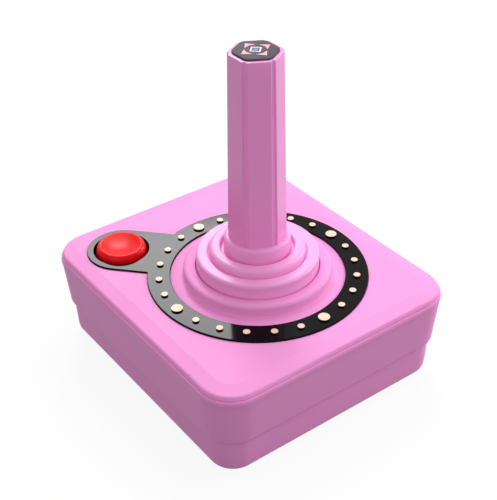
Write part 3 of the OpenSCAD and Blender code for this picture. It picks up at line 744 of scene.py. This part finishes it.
def lower_casing():
    shell = Shell()
    inset = draft + seam_step
    rings = [rect_loop(inset + base_lean + base_round * (1 - sin(radians(a))),
                       z_under + base_round * (1 - cos(radians(a)))) for a in quarter]
    tongue = draft + wall + tongue_gap
    inner = inset + wall
    inner_round = base_round - floor_round_less
    for i, z in ((inset + lean_knee[0], lean_knee[1]),
                 (inset, z_seam - seam_soft), (inset + seam_soft, z_seam),
                 (tongue, z_seam), (tongue, z_seam + tongue_h),
                 (tongue + tongue_t, z_seam + tongue_h), (tongue + tongue_t, z_seam - tongue_t),
                 (inner + base_lean, z_floor + inner_round),
                 (inner + floor_bend[0], z_floor + floor_bend[1]), (inner + inner_round, z_floor)):
        rings.append(rect_loop(i, z))
    shell.skin(rings)
    shell.flat([rings[0]]
               + [circle(x, y, z_under, foot_seat_r, foot_steps) for x, y in foot_spots]
               + [circle(x, y, z_under, well_r, screw_steps) for x, y in screw_spots])
    shell.flat([rings[-1]]
               + [circle(x, y, z_floor, socket_r, screw_steps) for x, y in screw_spots])
    for x, y in foot_spots:
        seat = circle(x, y, z_under + foot_seat_d, foot_seat_r, foot_steps)
        shell.skin([circle(x, y, z_under, foot_seat_r, foot_steps), seat])
        shell.cap(seat)
    for x, y in screw_spots:
        shell.skin([circle(x, y, z, r, screw_steps) for r, z in
                    ((well_r, z_under), (well_r, z_well), (shank_hole_r, z_well),
                     (shank_hole_r, z_boss), (socket_r, z_boss), (socket_r, z_floor))])
    for x, y in post_spots:
        shell.tube(x, y, post_r, small_bore_r, z_floor - boss_sink, z_post)
    dress(shell.done("case_bottom"), "casing", "housing", "lower_casing")


lower_casing()


# Ring plate

def ring_plate():
    shell = Shell()
    e, bend = plate_edge, edge_bend * plate_edge
    z_edge, z_bend = z_plate - e, z_plate - bend
    outer = [[(x, y, z) for x, y in plate_points(grow)]
             for grow, z in ((0, z_pocket), (0, z_edge), (-bend, z_bend), (-e, z_plate))]
    inner = [circle(stick_x, stick_y, z, r, plate_bore_steps) for r, z in
             ((plate_in_r, z_pocket), (plate_in_r, z_edge), (plate_in_r + bend, z_bend),
              (plate_in_r + e, z_plate))]
    # The black sleeve that hangs into the button's hole is painted shade for the gap round the button
    z_lip = z_pocket - shade_sleeve_h
    hole = [circle(button_x, button_y, z, r, button_steps) for r, z in
            ((button_hole_r + shade_sleeve_t, z_pocket), (button_hole_r + shade_sleeve_t, z_lip),
             (button_hole_r, z_lip), (button_hole_r, z_edge), (button_hole_r + bend, z_bend),
             (button_hole_r + e, z_plate))]
    for rings in (outer, inner, hole):
        shell.skin(rings)
    shell.flat([outer[0], inner[0], hole[0]])
    shell.flat([outer[-1], inner[-1], hole[-1]])
    dress(shell.done("plate", sharp=20), "plate", "housing", "ring_plate")


ring_plate()


# Studs

def studs(name, top_name, r, large, node, top_node):
    """The small studs or the large ones, round the ring, with their pale tops."""
    shell, tops = Shell(), Shell()
    z_joint = z_stud - stud_top_t
    for k in range(stud_count):
        if (k % (stud_count // large_studs) == 0) == large:
            a = ring_turn + TURN * k / stud_count
            x, y = stick_x + stud_circle_r * cos(a), stick_y + stud_circle_r * sin(a)
            shell.revolve([(0, z_plate), (r, z_plate), (r, z_joint), (0, z_joint)], x, y, post_steps)
            tops.revolve([(0, z_joint), (r, z_joint), (r, z_stud - stud_edge),
                          (r - stud_bend, z_stud - stud_bend), (r - stud_edge, z_stud), (0, z_stud)],
                         x, y, post_steps)
    dress(shell.done(name), "stud", "housing", node)
    dress(tops.done(top_name, sharp=15), "stud_top", "housing", top_node)


studs("stud_posts_small", "stud_caps_small", small_stud_r, False, "small_studs", "small_stud_tops")
studs("stud_posts_large", "stud_caps_large", large_stud_r, True, "large_studs", "large_stud_tops")


# Boot

def channel_edge(channel_r, z_channel, z_high):
    """The outer side of a step's channel, from its floor up to the step's top."""
    edge = [(channel_r - channel_soft, z_channel), (channel_r, z_channel + channel_soft)]
    return edge + arc(channel_r + channel_round, z_high - channel_round, channel_round, 180, 90, 8)


def boot_piece(name, profile, node):
    """Turns a finely divided profile round the stick's axis."""
    shell = Shell()
    shell.revolve(finer(profile, profile_step)[:-1], stick_x, stick_y, boot_steps)
    piece = shell.done(name, sharp=50)
    dress(piece, "boot", None, node)
    return piece


def boot():
    t = rubber_t
    channel_r = fold1_r + fold2_channel_w
    z_channel = z_fold2 - fold2_channel_d
    flange = recess_r - flange_gap
    skirt = [(fold1_r - t, z_split), (fold1_r, z_split), (fold1_r, z_channel + skirt_soft),
             (fold1_r + skirt_soft, z_channel)]
    skirt += channel_edge(channel_r, z_channel, z_fold2)
    skirt += arc(fold2_r - fold2_round, z_fold2 - fold2_round, fold2_round, 90, 0, 12)
    skirt += [(fold2_r, z_recess), (flange, z_recess), (flange, z_recess - t),
              (fold2_r - t, z_recess - t), (fold2_r - t, z_fold2 - t),
              (channel_r + t, z_fold2 - t), (channel_r + t, z_channel - t),
              (fold1_r - t, z_channel - t), (fold1_r - t, z_split)]
    piece = boot_piece("boot_lower", skirt, "boot_skirt")
    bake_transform(piece)

    channel_r = collar_r + fold1_channel_w
    z_channel = z_fold1 - fold1_channel_d
    z_end = z_split + split_gap
    neck = [(core_bore_r, z_collar)]
    neck += arc(collar_r - collar_round, z_collar - collar_round, collar_round, 90, 0, 12)
    neck += [(collar_r, z_channel + collar_soft), (collar_r + collar_bend, z_channel + collar_bend),
             (collar_r + collar_soft, z_channel)]
    neck += channel_edge(channel_r, z_channel, z_fold1)
    neck += arc(fold1_r - fold1_round, z_fold1 - fold1_round, fold1_round, 90, 0, 12)
    neck += [(fold1_r, z_end), (fold1_r - t, z_end), (fold1_r - t, z_fold1 - t),
             (channel_r + t, z_fold1 - t), (channel_r + t, z_channel - t),
             (collar_r - t, z_channel - t), (collar_r - t, z_collar - collar_t),
             (core_bore_r, z_collar - collar_t), (core_bore_r, z_collar)]
    piece = boot_piece("boot_upper", neck, "boot_neck")
    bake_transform(piece)


boot()


# Grip and cap

def turned(x, y, a):
    """A point beside the stick's axis, turned about it by the angle a."""
    return stick_x + x * cos(a) - y * sin(a), stick_y + x * sin(a) + y * cos(a)


def face_half(face, corner):
    """Half the width of a long face of an outline with six long and six short faces."""
    return 2 * (corner - face * cos(pi / 6))


def grip_loop(z, size, inset=0.0):
    """Six long faces with rounded edges, and a sunk strip on each corner."""
    face, corner = grip_face * size - inset, grip_corner * size - inset
    start = face_half(face, corner) - edge_start * grip_edge
    points = []
    for k in range(6):
        a = grip_turn + k * pi / 3
        side = [(face, start * t) for t in (-0.9, -0.5, 0, 0.5, 0.9)]
        rim = [(face - grip_edge * (1 - cos(radians(t))), start + grip_edge * sin(radians(t)))
               for t in range(0, 106, 15)]
        side = [(x, -y) for x, y in reversed(rim)] + side + rim
        points += [(*turned(x, y, a), z) for x, y in side]
        for t in (-strip_half, 0, strip_half):
            points.append((*turned(corner - strip_d, t, a + pi / 6), z))
    return points


def twelve(face, corner, z):
    """An outline with six long and six short faces, as the cap has."""
    half = face_half(face, corner)
    return [(*turned(face, half * s, grip_turn + k * pi / 3), z) for k in range(6) for s in (-1, 1)]


def grip():
    shell = Shell()
    span = z_grip - z_collar
    rings = [grip_loop(z_collar, 1, grip_foot)]
    for k in range(grip_rings + 1):
        z = z_collar + span * k / grip_rings
        z = max(z_collar + grip_foot, min(z, z_grip - grip_chamfer))
        rings.append(grip_loop(z, 1 - (1 - grip_taper) * (z - z_collar) / span))
    for out, down in ((0.15, 0.5), (0.5, 0.15), (1, 0)):
        rings.append(grip_loop(z_grip - grip_chamfer * down, grip_taper, grip_chamfer * out))
    shell.skin(rings)
    z_seat = z_grip - cap_seat_d
    recess = twelve(cap_face + cap_gap, cap_corner + cap_gap, z_grip)
    deep = twelve(cap_face + cap_gap, cap_corner + cap_gap, z_seat)
    bore_top = circle(stick_x, stick_y, z_seat, core_bore_r, foot_steps)
    bore_low = circle(stick_x, stick_y, z_collar, core_bore_r, foot_steps)
    shell.flat([rings[-1], recess])
    shell.skin([recess, deep])
    shell.flat([deep, bore_top])
    shell.skin([bore_top, bore_low])
    shell.flat([rings[0], bore_low])
    dress(shell.done("grip", sharp=24), "grip", "stick", "grip_sleeve")


def cap():
    shell = Shell()
    e, bend = cap_edge, edge_bend * cap_edge
    z_seat = z_grip - cap_seat_d
    rings = [twelve(cap_face - i, cap_corner - i, z) for i, z in
             ((0, z_seat), (0, z_cap - e), (bend, z_cap - bend), (e, z_cap))]
    shell.skin(rings)
    stem_top = circle(stick_x, stick_y, z_seat, cap_stem_r, post_steps)
    stem_low = circle(stick_x, stick_y, z_grip - cap_stem_d, cap_stem_r, post_steps)
    shell.flat([rings[0], stem_top])
    shell.cap(rings[-1])
    shell.skin([stem_top, stem_low])
    shell.cap(stem_low)
    dress(shell.done("cap", sharp=30), "cap", "stick", "cap_plate")


grip()
cap()


# Fire button

def fire_button():
    z_side = z_crest - shoulder_h
    profile = [(0, z_press), (stem_r, z_press), (stem_r, z_flange - flange_t),
               (flange_r, z_flange - flange_t), (flange_r, z_flange), (button_r, z_flange)]
    for k in range(shoulder_steps + 1):
        a = radians(90 * k / shoulder_steps)
        profile.append((crest_r + (button_r - crest_r) * cos(a), z_side + shoulder_h * sin(a)))
    dish_r = crest_r - crest_w
    for k in range(dish_steps, -1, -1):
        t = k / dish_steps
        profile.append((dish_r * t, z_crest - dish_d * (1 - t * t)))
    shell = Shell()
    shell.revolve(profile, button_x, button_y, button_steps)
    dress(shell.done("push_button", sharp=50), "button", "button", "fire_button")


fire_button()


# Feet and cable bush

def foot(name, node, sx, sy):
    shell = Shell()
    x, y = sx * (case_w / 2 - foot_in), sy * (case_d / 2 - foot_in)
    shell.revolve(foot_profile, x, y, foot_steps)
    dress(shell.done(name), "foot", "housing", node)


def cable_bush():
    """Made upright and then laid along Y."""
    shell = Shell()
    back, front = low("cable_bush")[1], high("cable_bush")[1]
    body, lip, bore = bush_body_r, bush_lip_r, bush_bore_r
    shell.revolve([(bore, back + bush_soft), (bore + bush_soft, back), (lip - bush_soft, back),
                   (lip, back + bush_soft), (lip, back + bush_lip_t), (body, back + bush_lip_t),
                   (body, front - bush_lip_t), (lip, front - bush_lip_t), (lip, front - bush_round),
                   (lip - bush_bend, front - bush_bend), (lip - bush_round, front),
                   (bore + bush_round, front), (bore + bush_bend, front - bush_bend),
                   (bore, front - bush_round)], 0, 0, bush_steps)
    for v in shell.bm.verts:
        x, y, z = v.co
        v.co = (x, z, z_inlet - y)
    dress(shell.done("inlet_bush"), "bush", "housing", "cable_bush")


for end, sy in (("front", -1), ("back", 1)):
    for side, sx in (("left", -1), ("right", 1)):
        foot(f"pad_{end}_{side}", f"foot_{end}_{side}", sx, sy)
cable_bush()


# Pieces inside and the cap's inlays, which keep the meshes they were made with

plain_pieces = {
    "boot_clamp_ring": "bracket", "gimbal_bracket": "bracket", "bracket_screws": "steel",
    "circuit_board": "board", "board_screws": "steel", "board_terminals": "terminal",
    "casing_screws": "steel", "button_guide": "bracket", "guide_screws": "steel",
    "gimbal_ring": "gimbal", "outer_pins": "steel", "inner_pins": "steel", "stick_core": "core",
    "actuator": "core", "actuator_screw": "steel", "cap_arrows": "inlay_pink",
    "cap_frame": "inlay_white", "cap_diamond": "inlay_blue",
}
for node, slot in plain_pieces.items():
    paint(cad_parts[node], slot)


# Soft pieces inside, which give way as the piece above them comes down

def soft_piece(name, node, slot):
    """Takes the CAD node's own mesh."""
    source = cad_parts[node]
    mesh = source.data.copy()
    mesh.transform(source.matrix_world)
    piece = placed(name, mesh)
    dress(piece, slot, "housing", node)
    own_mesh(piece)


soft_piece("pad_front", "dome_front", "dome")
soft_piece("pad_back", "dome_back", "dome")
soft_piece("pad_left", "dome_left", "dome")
soft_piece("pad_right", "dome_right", "dome")
soft_piece("pad_fire", "dome_fire", "dome")
soft_piece("return_spring", "button_spring", "steel")


# Floor and background

floor_half_m = 3.0
floor_white = 0.9
floor_bounce = 0.17
room_strength = 0.43


def seen_rays(tree):
    """1 for the rays that show the white background: seen directly, mirrored or through glass."""
    path = tree.nodes.new("ShaderNodeLightPath")
    one = tree.nodes.new("ShaderNodeMath")
    both = tree.nodes.new("ShaderNodeMath")
    one.operation = both.operation = "MAXIMUM"
    tree.links.new(path.outputs["Is Camera Ray"], one.inputs[0])
    tree.links.new(path.outputs["Is Glossy Ray"], one.inputs[1])
    tree.links.new(one.outputs[0], both.inputs[0])
    tree.links.new(path.outputs["Is Transmission Ray"], both.inputs[1])
    return both.outputs[0]


def floor():
    """A white floor that keeps the shadow and sends little light back up."""
    mesh = bpy.data.meshes.new("floor")
    half = floor_half_m
    mesh.from_pydata([(-half, -half, 0), (half, -half, 0), (half, half, 0), (-half, half, 0)], [],
                     [(0, 1, 2, 3)])
    plane = placed("floor", mesh)
    material = bpy.data.materials.new("floor_white")
    material.use_nodes = True
    tree = material.node_tree
    tree.nodes.clear()
    out = tree.nodes.new("ShaderNodeOutputMaterial")
    diffuse = tree.nodes.new("ShaderNodeBsdfDiffuse")
    shade = tree.nodes.new("ShaderNodeMix")
    shade.data_type = "RGBA"
    shade.inputs["A"].default_value = (floor_bounce, floor_bounce, floor_bounce, 1)
    shade.inputs["B"].default_value = (1, 1, 1, 1)
    tree.links.new(seen_rays(tree), shade.inputs["Factor"])
    tree.links.new(shade.outputs["Result"], diffuse.inputs["Color"])
    glow = tree.nodes.new("ShaderNodeEmission")
    share = tree.nodes.new("ShaderNodeMath")
    share.operation = "MULTIPLY"
    share.inputs[1].default_value = floor_white
    tree.links.new(seen_rays(tree), share.inputs[0])
    mix = tree.nodes.new("ShaderNodeMixShader")
    tree.links.new(share.outputs[0], mix.inputs[0])
    tree.links.new(diffuse.outputs[0], mix.inputs[1])
    tree.links.new(glow.outputs[0], mix.inputs[2])
    tree.links.new(mix.outputs[0], out.inputs["Surface"])
    mesh.materials.append(material)


def studio():
    """A white background where it is seen, and a dimmer room that lights the rest."""
    world = bpy.data.worlds.new("studio")
    bpy.context.scene.world = world
    world.use_nodes = True
    tree = world.node_tree
    tree.nodes.clear()
    out = tree.nodes.new("ShaderNodeOutputWorld")
    room = tree.nodes.new("ShaderNodeBackground")
    room.inputs["Color"].default_value = (1, 1, 1, 1)
    room.inputs["Strength"].default_value = room_strength
    white = tree.nodes.new("ShaderNodeBackground")
    white.inputs["Color"].default_value = (1, 1, 1, 1)
    white.inputs["Strength"].default_value = 1.0
    pick = tree.nodes.new("ShaderNodeMixShader")
    tree.links.new(seen_rays(tree), pick.inputs[0])
    tree.links.new(room.outputs[0], pick.inputs[1])
    tree.links.new(white.outputs[0], pick.inputs[2])
    tree.links.new(pick.outputs[0], out.inputs["Surface"])


floor()
studio()


# Lamps, in degrees, metres and watts

aim = Vector((0, 0, 0.045))


def softbox(name, azimuth, elevation, distance, width, height, watts):
    """An area lamp that faces the object; the azimuth is counted from +X towards +Y."""
    lamp = bpy.data.lights.new(name, "AREA")
    lamp.shape = "RECTANGLE"
    lamp.size, lamp.size_y = width, height
    lamp.energy = watts
    a, e = radians(azimuth), radians(elevation)
    place = aim + distance * Vector((cos(a) * cos(e), sin(a) * cos(e), sin(e)))
    holder = placed(name, lamp)
    holder.location = place
    holder.rotation_euler = (aim - place).to_track_quat("-Z", "Y").to_euler()


softbox("lamp_back", 61.6, 37.4, 1.1, 0.262, 0.214, 2.8)
softbox("lamp_rear", 50, 58, 2.4, 1.4, 1.4, 24)
softbox("lamp_low", -10, 15, 1.2, 0.7, 0.7, 6.5)
softbox("lamp_side", -52, 20, 1.2, 0.7, 0.7, 2.2)
softbox("lamp_right", -28, 40, 1.2, 0.6, 0.6, 0.8)
softbox("lamp_left", 205, 30, 1.2, 0.6, 0.6, 1.9)


# Camera: its angles, lens and place as measured from the photograph

photo_h_px = 500
camera_turn = radians(-36.139)
camera_tilt = radians(34.925)
camera_roll = radians(-0.835)
focal_px = 1053.256
reach = 340.70
shift_x_px = 9.16
shift_y_px = 18.757
z_looked_at = 35.1
sensor = 36
near_m = 0.01


def photo_camera():
    """Looks at a point on the stick's axis, which the photo shows a little off its middle."""
    looked_at = Vector((stick_x, stick_y, z_looked_at))
    back = Vector((sin(camera_turn) * cos(camera_tilt), -cos(camera_turn) * cos(camera_tilt),
                   sin(camera_tilt)))
    level = Vector((cos(camera_turn), sin(camera_turn), 0))
    upright = back.cross(level)
    right = level * cos(camera_roll) + upright * sin(camera_roll)
    up = -level * sin(camera_roll) + upright * cos(camera_roll)
    aside = right * (-shift_x_px * reach / focal_px) + up * (shift_y_px * reach / focal_px)
    place = (looked_at + aside + back * reach) * MM
    lens = bpy.data.cameras.new("camera")
    lens.sensor_fit = "VERTICAL"
    lens.sensor_height = sensor
    lens.sensor_width = sensor
    lens.lens = focal_px * sensor / photo_h_px
    lens.clip_start = near_m
    camera = placed("camera", lens)
    camera.matrix_world = Matrix((
        (right.x, up.x, back.x, place.x),
        (right.y, up.y, back.y, place.y),
        (right.z, up.z, back.z, place.z),
        (0, 0, 0, 1)))
    bpy.context.scene.camera = camera


photo_camera()
bpy.context.scene.view_settings.view_transform = "Standard"

bpy.context.view_layer.update()
